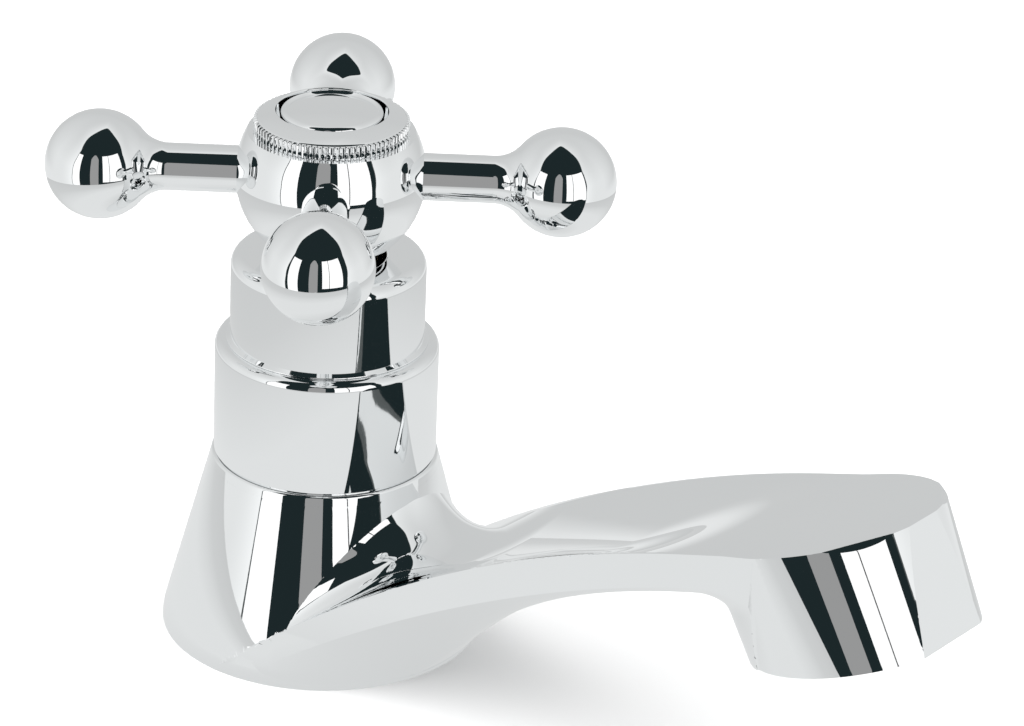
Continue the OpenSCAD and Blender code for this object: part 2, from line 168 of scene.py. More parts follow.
def arc(cx, cz, r, start, end, steps):
    a = np.radians(np.linspace(start, end, steps + 1))
    return np.stack([cx + r * np.cos(a), cz + r * np.sin(a)], 1)


def line(start, end):
    return np.array([start, end], float)


def turned(parts, turns=192, place=None, wave=None):
    """A turned piece as corners, faces and corner normals. Each part of the outline is smooth in
    itself and crisp against the next. The outline runs up the outside, in over the top and down the
    inside, in mm. Wave changes the radius round the turn."""
    points, spans = [], []
    for part in parts:
        d = np.gradient(part, axis=0) if len(part) > 2 else np.repeat(part[1:] - part[:1], 2, 0)
        start = len(points)
        if points and np.allclose(points[-1], part[0], atol=1e-6):
            start -= 1
        else:
            points.append(part[0])
        points.extend(part[1:])
        spans.append((start, unit(np.stack([d[:, 1], -d[:, 0]], 1))))
    angles = np.linspace(0, 2 * math.pi, turns, endpoint=False)
    ca, sa = np.cos(angles), np.sin(angles)
    verts, index = [], []
    for r, z in points:
        if r < 1e-6:
            index.append([len(verts)] * turns)
            verts.append((0, 0, z))
        else:
            rr = np.full(turns, r) if wave is None else wave(r, z, angles)
            index.append(list(range(len(verts), len(verts) + turns)))
            verts.extend(zip(rr * ca, rr * sa, np.full(turns, z)))
    faces, loops = [], []
    for start, n in spans:
        for k in range(len(n) - 1):
            low, high = index[start + k], index[start + k + 1]
            if low[0] == low[1] and high[0] == high[1]:
                continue
            for j in range(turns):
                m = (j + 1) % turns
                corners = [(low[j], j, k), (low[m], m, k), (high[m], m, k + 1), (high[j], j, k + 1)]
                if low[j] == low[m]:
                    corners.pop(1)
                elif high[j] == high[m]:
                    corners.pop(2)
                faces.append([c[0] for c in corners])
                loops.extend((n[c[2]][0] * ca[c[1]], n[c[2]][0] * sa[c[1]], n[c[2]][1]) for c in corners)
    verts, loops = np.array(verts, float), np.array(loops, float)
    if place is not None:
        m = np.array(place)
        verts = verts @ m[:3, :3].T + m[:3, 3]
        loops = loops @ m[:3, :3].T
    return verts, faces, loops


def lathe(name, parts, turns=192, place=None, wave=None):
    verts, faces, loops = turned(parts, turns, place, wave)
    return build_mesh(name, verts, faces, None if wave is not None else loops)


# ------------------------------------------------ the body, as a distance field
# In mm. s is the distance from the tap's axis towards the spout's end, and rho from the axis itself.
body_lo, body_hi = mm_box("tap_body")
FOOT_R = body_hi[0]
BAND_H, BAND_BLEND = 1.2, 0.35
BODY_H = mm_box("bonnet_gasket")[0][2]
TOP_R = mm_box("middle_sleeve")[1][0] + 0.35
BODY_BORE_R = 11.5
CONE_SLOPE = (FOOT_R - TOP_R + 0.02) / (BODY_H - 0.44 - BAND_H)
LIP_FOOT = BODY_H - 1.5
LIP_EDGE = 0.6

# Spout: its top is an arc that runs on as a straight tilt under the head
TILT = math.radians(18)
REACH, HEAD_Z = 95.0, 50.7
STRAIGHT_S = REACH - 15
STRAIGHT_Z = HEAD_Z - 15 * TAN(TILT)
TOP_ARC_R = 230.0
ARM_END_S = 92
NECK_HALF_W, NECK_S, NECK_GROWTH, PLAN_ARC_R = 16.9, 55, 0.2, 227.0
SIDE_H, EDGE_ARC_R = 5.2, 236.0
EDGE_SLOPE, EDGE_FALL = math.radians(31), 0.86
BELLY_R, BELLY_S, BELLY_Z = 116, 113.9, -73.5
BELLY_EDGE_R, HEAD_FILLET_R, HEAD_BLEND = 1.6, 3.5, 0.7
DISH, DISH_HALF_W = 2.4, 16.5
DISH_START_S, DISH_DEEP_S, DISH_FADE_S, DISH_END_S = 21, 36, 63, 85
# The arm stops RIM_H over the basin, and its sides run out over the cone below FLARE_H
RIM_H = 0.6
FLARE, FLARE_H, FLARE_FULL_S, FLARE_END_S = 0.17, 9, 8, 23
ROOT_R, ROOT_EDGE_R, ROOT_HALF_W, ROOT_START_S, ROOT_END_S = 12.8, 0.4, 20, 5, 45
ROOT_INSET, ROOT_INSET_SHARE = 0.1, 0.03
# Slope of the lower edge faces by distance from the axis: steep where they run down to the foot
SLOPE_S = (9, 13, 17, 21, 25, 30, 40)
SLOPE_DEG = (91, 84, 70, 54, 41, 32, 31)

# Head: a leaning cone, cut flat at the nose and at its two upper corners
DEPTH = 17.9
LEAN = math.radians(7.5)
ROUND_TOP, ROUND_LOW, ROUND_FRONT = 17.6, 16.4, 1.2
NOSE_AT, NOSE_LEAN = 13.9, math.radians(3.5)
CORNER_AT, CORNER_TURN, CORNER_LEAN = 14.0, math.radians(37), math.radians(50)

# Hollows, as radius, low and high: the bonnet's bore, the hole to the seat, the shank's socket and
# flange, the gasket's groove, and in the head the chamber over the outlet and the aerator's bore
BORES = ((BODY_BORE_R, 8, BODY_H + 1), (7.8, -1, 9), (10.2, -1, 6), (13.5, -1, 2.5))
GROOVE, GROOVE_INNER_R = (22, -1, 2), 15
OUTLET_BORES = ((9, -DEPTH - 1, -3), (12, -DEPTH - 1, -9))
# Waterway: a port out of the body, and a channel under the arm's top, as middle and half length
WATER_HALF_W, PORT_S, PORT_Z, CHANNEL_S = 6, (14.5, 6.5), (11.35, 2.85), (54, 36)
CHANNEL_ROOF, CHANNEL_FLOOR = 2.2, 6


def smax(a, b, k):
    h = np.maximum(k - np.abs(a - b), 0) / k
    return np.maximum(a, b) + h * h * k / 4


def smin(a, b, k):
    return -smax(-a, -b, k)


def rmax(a, b, r):
    return np.minimum(-r, np.maximum(a, b)) + np.hypot(np.maximum(a + r, 0), np.maximum(b + r, 0))


def rmin(a, b, r):
    return -rmax(-a, -b, r)


def bar(rho, z, r, low, high):
    return np.maximum(np.maximum(rho - r, low - z), z - high)


def under_arc(s, z, joint_s, joint_z, tilt, r):
    """Signed distance above an arc that runs on as a straight line past its joint."""
    curve = np.hypot(s - joint_s - r * SIN(tilt), z - joint_z + r * COS(tilt)) - r
    flat = (z - joint_z - (s - joint_s) * TAN(tilt)) * COS(tilt)
    return np.where(s < joint_s, curve, flat)


def head_frame(y, z):
    hy = (y + REACH) * COS(TILT) - (z - HEAD_Z) * SIN(TILT)
    hz = (y + REACH) * SIN(TILT) + (z - HEAD_Z) * COS(TILT)
    return hy, hz


def half_width(s):
    r = PLAN_ARC_R
    inner = NECK_HALF_W + r - np.sqrt(r * r - np.minimum(s - NECK_S, 0) ** 2)
    outer = NECK_HALF_W + (s - NECK_S) * NECK_GROWTH / (ARM_END_S - NECK_S)
    return np.where(s < NECK_S, inner, outer)


def crease_height(s):
    """Height of the lower edge of the spout's flat side."""
    tilt = math.atan(TAN(TILT) * COS(EDGE_SLOPE))
    edge_s = STRAIGHT_S + SIDE_H * SIN(TILT)
    edge_z = (STRAIGHT_Z - SIDE_H * COS(TILT)) * COS(EDGE_SLOPE) - NECK_HALF_W * SIN(EDGE_SLOPE)
    r = EDGE_ARC_R
    cx, cz = edge_s + r * SIN(tilt), edge_z - r * COS(tilt)
    curve = cz + np.sqrt(np.maximum(r * r - (s - cx) ** 2, 0))
    flat = edge_z + (s - edge_s) * TAN(tilt)
    return (np.where(s < edge_s, curve, flat) + half_width(s) * SIN(EDGE_SLOPE)) / COS(EDGE_SLOPE)


def cone_field(rho, z):
    side = (rho - FOOT_R + (z - BAND_H) * CONE_SLOPE) / math.hypot(1, CONE_SLOPE)
    side = smax(side, rho - FOOT_R, BAND_BLEND)
    return np.maximum(np.maximum(side, z - LIP_FOOT), -z)


def top_field(x, s, z):
    """The arm's top, dished across from the root to the head."""
    across = np.clip(1 - (x / DISH_HALF_W) ** 2, 0, 1)
    along = ramp(s, DISH_START_S, DISH_DEEP_S) * ramp(s, DISH_END_S, DISH_FADE_S)
    return (under_arc(s, z, STRAIGHT_S, STRAIGHT_Z, TILT, TOP_ARC_R)
            + DISH * across * along * along * (3 - 2 * along))


def under_field(wall, s, rho, z):
    """The belly and the sloping faces on each side of it."""
    slope = np.radians(np.interp(s, SLOPE_S, SLOPE_DEG))
    edge = wall * np.sin(slope) + (crease_height(s) - z) * np.cos(slope) * EDGE_FALL
    belly = BELLY_R - np.hypot(rho - BELLY_S, z - BELLY_Z)
    return rmax(belly, edge, BELLY_EDGE_R)


def head_field(x, hy, hz):
    h = hz + DEPTH
    ry = hy * COS(LEAN) - h * SIN(LEAN)
    rz = hy * SIN(LEAN) + h * COS(LEAN)
    ring_r = np.hypot(x, ry)
    front = np.clip(-ry / np.maximum(ring_r, 1), 0, 1)
    round_side = ring_r - (ROUND_LOW + rz * (ROUND_TOP - ROUND_FRONT * front - ROUND_LOW) / DEPTH)
    nose = -(hy + NOSE_AT) * COS(NOSE_LEAN) + hz * SIN(NOSE_LEAN)
    across = np.abs(x) * SIN(CORNER_TURN) - hy * COS(CORNER_TURN) - CORNER_AT
    corner = across * COS(CORNER_LEAN) + hz * SIN(CORNER_LEAN)
    return np.maximum(np.maximum(np.maximum(round_side, corner), nose), -hz - DEPTH)


def between(value, span):
    """Signed distance outside a span, given as its middle and half length."""
    return np.abs(value - span[0]) - span[1]


def hollow_out(d, ax, s, rho, z, top, head_rho, hz):
    for bore in BORES:
        d = np.maximum(d, -bar(rho, z, *bore))
    d = np.maximum(d, -np.maximum(bar(rho, z, *GROOVE), GROOVE_INNER_R - rho))
    sides = ax - WATER_HALF_W
    port = np.maximum(np.maximum(sides, between(s, PORT_S)), between(z, PORT_Z))
    channel = np.maximum(np.maximum(top + CHANNEL_ROOF, -top - CHANNEL_FLOOR),
                         np.maximum(sides, between(s, CHANNEL_S)))
    d = np.maximum(d, -np.minimum(port, channel))
    for bore in OUTLET_BORES:
        d = np.maximum(d, -bar(head_rho, hz, *bore))
    return d


def body_field(p):
    x, y, z = p[..., 0], p[..., 1], p[..., 2]
    ax, s, rho = np.abs(x), -y, np.hypot(x, y)
    hy, hz = head_frame(y, z)
    cone = cone_field(rho, z)
    top = top_field(x, s, z)
    flare = FLARE * np.clip(FLARE_H - z, 0, FLARE_H) * ramp(s, FLARE_END_S, FLARE_FULL_S)
    wall = ax - half_width(s) - flare
    under = under_field(wall, s, rho, z)
    head = head_field(x, hy, hz)
    # arm and head share the top face, so they are joined before it is cut
    arm = np.maximum(np.maximum(rmin(under, head, HEAD_FILLET_R), wall), s - ARM_END_S)
    cap = np.maximum(np.maximum(smin(arm, head, HEAD_BLEND), top), RIM_H - z)
    # fillet from the cone on to the arm's top, wide in the middle and narrow at the sides
    blend_r = np.maximum(ROOT_R * np.maximum(1 - (x / ROOT_HALF_W) ** 2, 0) ** 0.75, ROOT_EDGE_R)
    root = rmin(cone + ROOT_INSET + ROOT_INSET_SHARE * blend_r, top, blend_r)
    root = np.maximum(np.maximum(np.maximum(root, wall), under), np.maximum(s - ROOT_END_S, RIM_H - z))
    d = np.minimum(np.minimum(cone, cap), np.maximum(root, ROOT_START_S - s))
    return hollow_out(d, ax, s, rho, z, top, np.hypot(x, hy), hz)


# How strongly a cell's point is held near the middle of its crossings, and how far it may move
POINT_HOLD, POINT_REACH = 0.012, 0.8
# A corner is smooth when the faces round it turn away from it by less than this
SMOOTH_DEG = 5.5
# How far in from a corner, towards its face's middle, a normal is taken
TEST_PULL, CREASE_PULL = 0.45, 0.6


def gradient(field, p, eps):
    g = np.empty_like(p)
    for axis in range(3):
        step = np.zeros(3)
        step[axis] = eps
        g[:, axis] = (field(p + step) - field(p - step)) / (2 * eps)
    return g


def edge_crossings(field, values, origin, cell):
    """Where the surface crosses the grid's edges: for each axis the edges, which end is inside, and
    the points with their normals."""
    inside = values < 0
    found = []
    for axis in range(3):
        a, b = [slice(None)] * 3, [slice(None)] * 3
        a[axis], b[axis] = slice(0, -1), slice(1, None)
        change = inside[tuple(a)] != inside[tuple(b)]
        idx = np.argwhere(change)
        va, vb = values[tuple(a)][change].copy(), values[tuple(b)][change].copy()
        ta, tb = np.zeros(len(va)), np.ones(len(va))
        base = origin + idx * cell
        step = np.zeros(3)
        step[axis] = cell
        for _ in range(4):
            t = ta + (tb - ta) * np.clip(va / (va - vb), 0.02, 0.98)
            value = field(base + t[:, None] * step)
            low = (value < 0) == (va < 0)
            ta, va = np.where(low, t, ta), np.where(low, value, va)
            tb, vb = np.where(low, tb, t), np.where(low, vb, value)
        t = ta + (tb - ta) * va / np.where(va == vb, 1, va - vb)
        pos = base + t[:, None] * step
        found.append((axis, idx, inside[tuple(a)][change], pos, unit(gradient(field, pos, 0.01))))
    return found


def cell_corners(found, cells, cell):
    """One point in each cell that the surface passes, drawn on to the creases in it."""
    cell_ids, points, normals = [], [], []
    for axis, idx, _, pos, n in found:
        others = [o for o in range(3) if o != axis]
        for du in (0, 1):
            for dv in (0, 1):
                c = idx.copy()
                c[:, others[0]] -= du
                c[:, others[1]] -= dv
                cell_ids.append(np.ravel_multi_index(c.T, cells))
                points.append(pos)
                normals.append(n)
    cell_ids, points, normals = np.concatenate(cell_ids), np.concatenate(points), np.concatenate(normals)
    used, where = np.unique(cell_ids, return_inverse=True)
    size = len(used)
    count = np.bincount(where, minlength=size)[:, None]

    def total(weights):
        return np.bincount(where, weights=weights, minlength=size)

    mean = np.stack([total(points[:, k]) for k in range(3)], 1) / count
    offset = np.einsum("ij,ij->i", normals, points - mean[where])
    matrix, right_side = np.empty((size, 3, 3)), np.empty((size, 3))
    for j in range(3):
        right_side[:, j] = total(normals[:, j] * offset)
        for k in range(3):
            matrix[:, j, k] = total(normals[:, j] * normals[:, k])
    matrix += np.eye(3) * POINT_HOLD
    move = np.linalg.solve(matrix, right_side[..., None])[..., 0]
    far = np.linalg.norm(move, axis=1, keepdims=True)
    return used, mean + move * np.minimum(1, POINT_REACH * cell / np.maximum(far, 1e-9))


def cell_faces(found, ids, cells):
    """A quad round each crossed edge, turned to face outwards."""
    faces = []
    for axis, idx, first_in, _, _ in found:
        u, v = [(1, 2), (2, 0), (0, 1)][axis]
        quad = []
        for du, dv in ((1, 1), (0, 1), (0, 0), (1, 0)):
            c = idx.copy()
            c[:, u] -= du
            c[:, v] -= dv
            quad.append(ids[np.ravel_multi_index(c.T, cells)])
        quad = np.stack(quad, 1)
        quad[~first_in] = quad[~first_in][:, ::-1]
        faces.append(quad)
    return np.concatenate(faces)


def split_along_creases(field, verts, bent):
    """Two triangles for each quad, cut on the diagonal that fits the surface better."""
    cuts = (((0, 1, 2), (0, 2, 3)), ((0, 1, 3), (1, 2, 3)))
    splits = [np.concatenate([bent[:, a], bent[:, b]]) for a, b in cuts]
    scores = []
    for tris in splits:
        pts = verts[tris]
        flat = unit(np.cross(pts[:, 1] - pts[:, 0], pts[:, 2] - pts[:, 0]))
        fit = np.einsum("ij,ij->i", flat, unit(gradient(field, pts.mean(1), 0.02)))
        scores.append(np.minimum(fit[:len(bent)], fit[len(bent):]))
    first = np.tile(scores[0] >= scores[1], 2)
    return np.where(first[:, None], splits[0], splits[1])


def inner_normals(field, verts, faces, pull):
    """Each corner's normal, taken a little way in from the corner towards the face's middle."""
    mid = verts[faces].mean(1)
    corner = (verts[faces] * (1 - pull) + mid[:, None] * pull).reshape(-1, 3)
    return unit(gradient(field, corner, 0.02))


def contour(field, lo, hi, cell):
    """Faces on the zero surface of a field, with their corners on its creases, and corner normals."""
    axes = [np.arange(lo[i] - 2.02 * cell, hi[i] + 3 * cell, cell) for i in range(3)]
    origin = np.array([a[0] for a in axes])
    values = np.empty(tuple(len(a) for a in axes))
    for i, xv in enumerate(axes[0]):
        grid = np.stack(np.meshgrid([xv], axes[1], axes[2], indexing="ij"), -1)
        values[i] = field(grid)[0]
    cells = tuple(n - 1 for n in values.shape)
    found = edge_crossings(field, values, origin, cell)
    used, verts = cell_corners(found, cells, cell)
    ids = np.full(int(np.prod(cells)), -1, np.int64)
    ids[used] = np.arange(len(used))
    faces = cell_faces(found, ids, cells)
    # smooth places are drawn on to the surface
    n_vert = unit(gradient(field, verts, 0.1))
    agree = np.einsum("ij,ij->i", inner_normals(field, verts, faces, TEST_PULL), n_vert[faces.ravel()])
    worst = np.ones(len(used))
    np.minimum.at(worst, faces.ravel(), agree)
    smooth = worst > COS(math.radians(SMOOTH_DEG))
    for _ in range(2):
        sub = verts[smooth]
        g = gradient(field, sub, 0.02)
        verts[smooth] = sub - field(sub)[:, None] * g / np.maximum((g * g).sum(1, keepdims=True), 0.25)
    n_vert[smooth] = unit(gradient(field, verts[smooth], 0.05))
    # beside a crease a face is split along it, and its corners take that side's normal
    plain = smooth[faces].all(1)
    quads = faces[plain]
    tris = split_along_creases(field, verts, faces[~plain])
    flat = tris.ravel()
    n_tris = np.where(smooth[flat][:, None], n_vert[flat], inner_normals(field, verts, tris, CREASE_PULL))
    return verts, quads.tolist() + tris.tolist(), np.concatenate([n_vert[quads.ravel()], n_tris])


def body_lip():
    """The rounded rim that the middle sleeve sits on."""
    low_r = FOOT_R - (LIP_FOOT - BAND_H) * CONE_SLOPE
    edge = arc(0, BODY_H - LIP_EDGE, LIP_EDGE, math.degrees(math.atan(CONE_SLOPE)), 90, 10)
    edge[:, 0] += FOOT_R - (edge[0, 1] - BAND_H) * CONE_SLOPE - edge[0, 0]
    return turned([
        line((low_r, LIP_FOOT), edge[0]),
        edge,
        line(edge[-1], (BODY_BORE_R, BODY_H)),
        line((BODY_BORE_R, BODY_H), (BODY_BORE_R, LIP_FOOT)),
    ], 256)


def body_casting():
    cell = 0.54
    verts, faces, normals = contour(body_field, body_lo, body_hi, cell)
    lip_verts, lip_faces, lip_normals = body_lip()
    faces += [[c + len(verts) for c in face] for face in lip_faces]
    body = build_mesh("body_casting", np.concatenate([verts, lip_verts]), faces,
                      np.concatenate([normals, lip_normals]))
    dress(body, "tap", "chrome_body", "tap_body")


body_casting()

# ------------------------------------------------------------ turned pieces
SLEEVE_WALL = 1.2
UPPER_R = mm_box("upper_sleeve")[1][0] - 0.6
HUB_R = mm_box("handle_hub")[1][0]
arm_lo, arm_hi = mm_box("handle_arm_1")
HUB_Z = (arm_lo[2] + arm_hi[2]) / 2
BALL_R = (arm_hi[2] - arm_lo[2]) / 2


def middle_sleeve():
    """Open below, with a step for the seam over the body and a rounded top edge."""
    lo, hi = mm_box("middle_sleeve")
    r, low, high = hi[0], lo[2], hi[2]
    edge, seam, seam_r = 1.4, 0.3, 0.12
    inner, step_r = r - SLEEVE_WALL, r - 0.5
    dress(lathe("middle_sleeve_turned", [
        line((inner, low), (step_r, low)),
        line((step_r, low), (step_r, low + seam)),
        line((step_r, low + seam), (r - seam_r, low + seam)),
        arc(r - seam_r, low + seam + seam_r, seam_r, -90, 0, 3),
        line((r, low + seam + seam_r), (r, high - edge)),
        arc(r - edge, high - edge, edge, 0, 90, 14),
        line((r - edge, high), (UPPER_R + 0.05, high)),
        line((UPPER_R + 0.05, high), (UPPER_R + 0.05, high - SLEEVE_WALL)),
        line((UPPER_R + 0.05, high - SLEEVE_WALL), (inner, high - SLEEVE_WALL)),
        line((inner, high - SLEEVE_WALL), (inner, low)),
    ]), "tap", "chrome_sleeve", "middle_sleeve")


def upper_sleeve():
    """Open at the top for the hub's collar, with a small bead where it leaves the middle sleeve and
    a web inside that sits on the gland nut."""
    lo, hi = mm_box("upper_sleeve")
    r, low, top = UPPER_R, lo[2], hi[2]
    step = mm_box("middle_sleeve")[1][2]
    edge, hole, hole_edge = 2.0, 8.6, 0.3
    inner, web_r, web_low, web_high = r - SLEEVE_WALL, 7.55, 44, 46
    bead = arc(r + 0.45, step + 0.15, 0.15, -90, 50, 5)
    dress(lathe("upper_sleeve_turned", [
        line((inner, low), (r, low)),
        line((r, low), (r, step)),
        line((r, step), (r + 0.45, step)),
        bead,
        line(bead[-1], (r, step + 0.7)),
        line((r, step + 0.7), (r, top - edge)),
        arc(r - edge, top - edge, edge, 0, 90, 18),
        line((r - edge, top), (hole + hole_edge, top)),
        arc(hole + hole_edge, top - hole_edge, hole_edge, 90, 180, 4),
        line((hole, top - hole_edge), (hole, top - SLEEVE_WALL)),
        line((hole, top - SLEEVE_WALL), (inner, top - SLEEVE_WALL)),
        line((inner, top - SLEEVE_WALL), (inner, web_high)),
        line((inner, web_high), (web_r, web_high)),
        line((web_r, web_high), (web_r, web_low)),
        line((web_r, web_low), (inner, web_low)),
        line((inner, web_low), (inner, low)),
    ]), "tap", "chrome_sleeve", "upper_sleeve")


def hub():
    """A ball cut flat above and below, with a collar that runs into the upper sleeve."""
    lo, hi = mm_box("handle_hub")
    low, high, ball_low = lo[2], hi[2], 62.8
    collar_r, socket_r, button_r = 7.4, 6.0, 7.05
    web_low, web_high, cup_r, cup_top, screw_r = 71.5, 72.5, 5, 75.5, 2.2
    a_low = math.degrees(math.asin((ball_low - HUB_Z) / HUB_R))
    a_high = math.degrees(math.asin((high - HUB_Z) / HUB_R))
    foot_r = HUB_R * COS(math.radians(a_low))
    top_r = HUB_R * COS(math.radians(a_high))
    dress(lathe("hub_turned", [
        line((socket_r, low), (collar_r - 0.3, low)),
        arc(collar_r - 0.3, low + 0.3, 0.3, -90, 0, 4),
        line((collar_r, low + 0.3), (collar_r, ball_low)),
        line((collar_r, ball_low), (foot_r - 0.3, ball_low)),
        arc(foot_r - 0.3, ball_low + 0.3, 0.3, -90, -30, 4),
        arc(0, HUB_Z, HUB_R, a_low + 1.5, a_high, 72),
        line((top_r, high), (button_r, high)),
        line((button_r, high), (button_r, cup_top)),
        line((button_r, cup_top), (cup_r, cup_top)),
        line((cup_r, cup_top), (cup_r, web_high)),
        line((cup_r, web_high), (screw_r, web_high)),
        line((screw_r, web_high), (screw_r, web_low)),
        line((screw_r, web_low), (socket_r, web_low)),
        line((socket_r, web_low), (socket_r, low)),
    ], turns=256), "handle", "chrome_handle", "handle_hub")


def arm(number):
    """Bar, hollow flare and ball, on an axis that points along the CAD arm."""
    node = f"handle_arm_{number}"
    points = np.array([v.co for v in frame["nodes"][node].data.vertices]) / MM
    rho = np.hypot(points[:, 0], points[:, 1])
    tip = points[np.argmax(rho)]
    angle = math.atan2(tip[1], tip[0])
    ball_r, bar_r, flare_r = BALL_R, 3.55, 5.2
    reach = rho.max() - ball_r
    start = reach - math.sqrt((ball_r + flare_r) ** 2 - (bar_r + flare_r) ** 2)
    end = math.degrees(math.acos((bar_r + flare_r) / (ball_r + flare_r)))
    peg_r, peg_from, peg_to = 2.5, 8.2, 12.9
    seat = math.sqrt(HUB_R ** 2 - bar_r ** 2) + 0.1
    place = Matrix(((-SIN(angle), 0, COS(angle), 0), (COS(angle), 0, SIN(angle), 0),
                    (0, 1, 0, HUB_Z), (0, 0, 0, 1)))
    dress(lathe(f"arm_turned_{number}", [
        line((0, peg_from), (peg_r, peg_from)),
        line((peg_r, peg_from), (peg_r, peg_to)),
        line((peg_r, peg_to), (bar_r, peg_to)),
        line((bar_r, peg_to), (bar_r, seat)),
        line((bar_r, seat), (bar_r, start)),
        arc(bar_r + flare_r, start, flare_r, 180, 180 - end, 24),
        arc(0, reach, ball_r, -end, 90, 96),
    ], turns=128, place=place), "handle", "chrome_handle", node)


def knurled_ring():
    """A ring with upright teeth round its lower part and a sloping shoulder above them."""
    lo, hi = mm_box("knurled_ring")
    tip_r, low, high = hi[0], lo[2], hi[2]
    bore, bore_edge, chamfer, teeth, teeth_h, tooth_depth = 8.35, 0.25, 0.14, 84, 2.0, 0.5

    def knurl(radius, z, angles):
        if radius < tip_r - 0.2 or z > low + teeth_h + 0.05:
            return np.full(len(angles), radius)
        wave = np.abs(((angles * teeth / (2 * math.pi)) % 1.0) * 2 - 1)
        return radius - tooth_depth * np.clip(wave * 2.2 - 0.9, 0, 1)

    shoulder = arc(tip_r - 1.0, low + 1.72, 0.62, 38, 75, 6)
    ring = lathe("knurled_ring_turned", [
        line((bore, low), (tip_r - 0.7, low)),
        line((tip_r - 0.7, low), (tip_r - chamfer, low)),
        line((tip_r - chamfer, low), (tip_r, low + chamfer)),
        line((tip_r, low + chamfer), (tip_r, low + teeth_h - chamfer)),
        line((tip_r, low + teeth_h - chamfer), (tip_r - chamfer, low + teeth_h)),
        line((tip_r - chamfer, low + teeth_h), (tip_r - 0.5, low + teeth_h + 0.1)),
        shoulder,
        line(shoulder[-1], (bore + bore_edge, high)),
        arc(bore + bore_edge, high - bore_edge, bore_edge, 90, 180, 4),
        line((bore, high - bore_edge), (bore, low)),
    ], turns=teeth * 8, wave=knurl)
    ring.data.set_sharp_from_angle(angle=math.radians(40))
    dress(ring, "handle", "chrome_trim", "knurled_ring")


def button():
    """A shallow dome with a rounded edge, on a spigot."""
    lo, hi = mm_box("button_cap")
    r, low, high = hi[0], lo[2], hi[2]
    spigot_r, shoulder_z, sag, edge = 7.0, 81.1, 0.9, 0.9
    dome = (r * r + sag * sag) / (2 * sag)
    dome_a = math.degrees(math.asin((r - edge) / (dome - edge)))
    side_top = high - sag - 0.25
    rim = arc(r - edge, side_top, edge, 0, 90 - dome_a - 3, 14)
    dress(lathe("button_turned", [
        line((0, low), (spigot_r, low)),
        line((spigot_r, low), (spigot_r, shoulder_z)),
        line((spigot_r, shoulder_z), (r, shoulder_z)),
        line((r, shoulder_z), (r, side_top)),
        rim,
        np.concatenate([rim[-1:], arc(0, high - dome, dome, 90 - dome_a * 0.97, 90, 30)]),
    ]), "handle", "chrome_handle", "button_cap")


def shank():
    """A tube with a helical thread, broken by a groove, and a flange inside the foot."""
    lo, hi = mm_box("shank")
    flange_r, low, high = hi[0], lo[2], hi[2]
    r, bore_r, chamfer, bore_chamfer, flange_h = 10.2, 7.0, 0.8, 0.5, 2.5
    groove_low, groove_high, groove_depth = -32.5, -31, 0.9
    pitch, thread_depth, thread_top, run_out = 1.814, 0.75, -4.2, 1.2

    def thread(radius, z, angles):
        if abs(radius - r) > 0.02:
            return np.full(len(angles), radius)
        ends = ramp(z, low + 0.3, low + 0.3 + run_out) * ramp(z, thread_top, thread_top - run_out)
        ends *= ramp(abs(z - (groove_low + groove_high) / 2), 0.9, 1.7)
        phase = z / pitch - angles / (2 * math.pi)
        tri = np.abs((phase % 1.0) * 2 - 1)
        return radius - thread_depth * ends * np.clip(tri * 1.25 - 0.12, 0, 1)

    def rows(z0, z1):
        return np.array([(r, z) for z in np.arange(z0, z1 + 0.01, pitch / 9)] + [(r, z1)])

    tube = lathe("shank_threaded", [
        line((bore_r + bore_chamfer, low), (r - chamfer, low)),
        line((r - chamfer, low), (r, low + chamfer)),
        rows(low + chamfer, groove_low),
        line((r, groove_low), (r - groove_depth, groove_low)),
        line((r - groove_depth, groove_low), (r - groove_depth, groove_high)),
        line((r - groove_depth, groove_high), (r, groove_high)),
        rows(groove_high, 0),
        line((r, 0), (flange_r, 0)),
        line((flange_r, 0), (flange_r, flange_h)),
        line((flange_r, flange_h), (r, flange_h)),
        line((r, flange_h), (r, high)),
        line((r, high), (bore_r, high)),
        line((bore_r, high), (bore_r, low + bore_chamfer)),
        line((bore_r, low + bore_chamfer), (bore_r + bore_chamfer, low)),
    ], turns=96, wave=thread)
    tube.data.set_sharp_from_angle(angle=math.radians(32))
    dress(tube, "tap", "shank_brass", "shank")


middle_sleeve()
upper_sleeve()
hub()
for number in range(1, 5):
    arm(number)
knurled_ring()
button()
shank()

# ------------------------------------------------------ the rest keep their CAD shapes
for name, obj in frame["nodes"].items():
    obj.data.materials.clear()
    obj.data.materials.append(LOOKS[NODE_SLOT[name]])
    if name not in REMADE:
        obj.data.polygons.foreach_set("use_smooth", np.ones(len(obj.data.polygons), bool))
        obj.data.set_sharp_from_angle(angle=math.radians(35))

# -------------------------------------------------------------------- stage
CAM_AZ = math.radians(-52)
CAM_EL = math.radians(25.576)
ROLL = math.radians(2.341)
CAM_AT = (30.82, -11.47, 36.00)
CAM_DISTANCE, LENS, SENSOR = 0.7281, 164.87578125, 36


def direction(az, el):
    return Vector((SIN(az) * COS(el), -COS(az) * COS(el), SIN(el)))


def towards(lon, lat):
    """Direction by its angle to the right of the camera and its height, in degrees."""
    return np.array(direction(CAM_AZ + math.radians(lon), math.radians(lat)))


def glow(name, color=None):
    """A surface that shines in one colour, or else in the painted light and shade stored at its corners."""
    mat = bpy.data.materials.new(name)
    mat.use_nodes = True
    nodes, links = mat.node_tree.nodes, mat.node_tree.links
    nodes.clear()
    out = nodes.new("ShaderNodeOutputMaterial")
    emit = nodes.new("ShaderNodeEmission")
    emit.inputs["Strength"].default_value = 1.0
    if color is None:
        attr = nodes.new("ShaderNodeAttribute")
        attr.attribute_name = "shade"
        links.new(attr.outputs["Color"], emit.inputs["Color"])
    else:
        emit.inputs["Color"].default_value = (*color, 1)
    links.new(emit.outputs["Emission"], out.inputs["Surface"])
    return mat


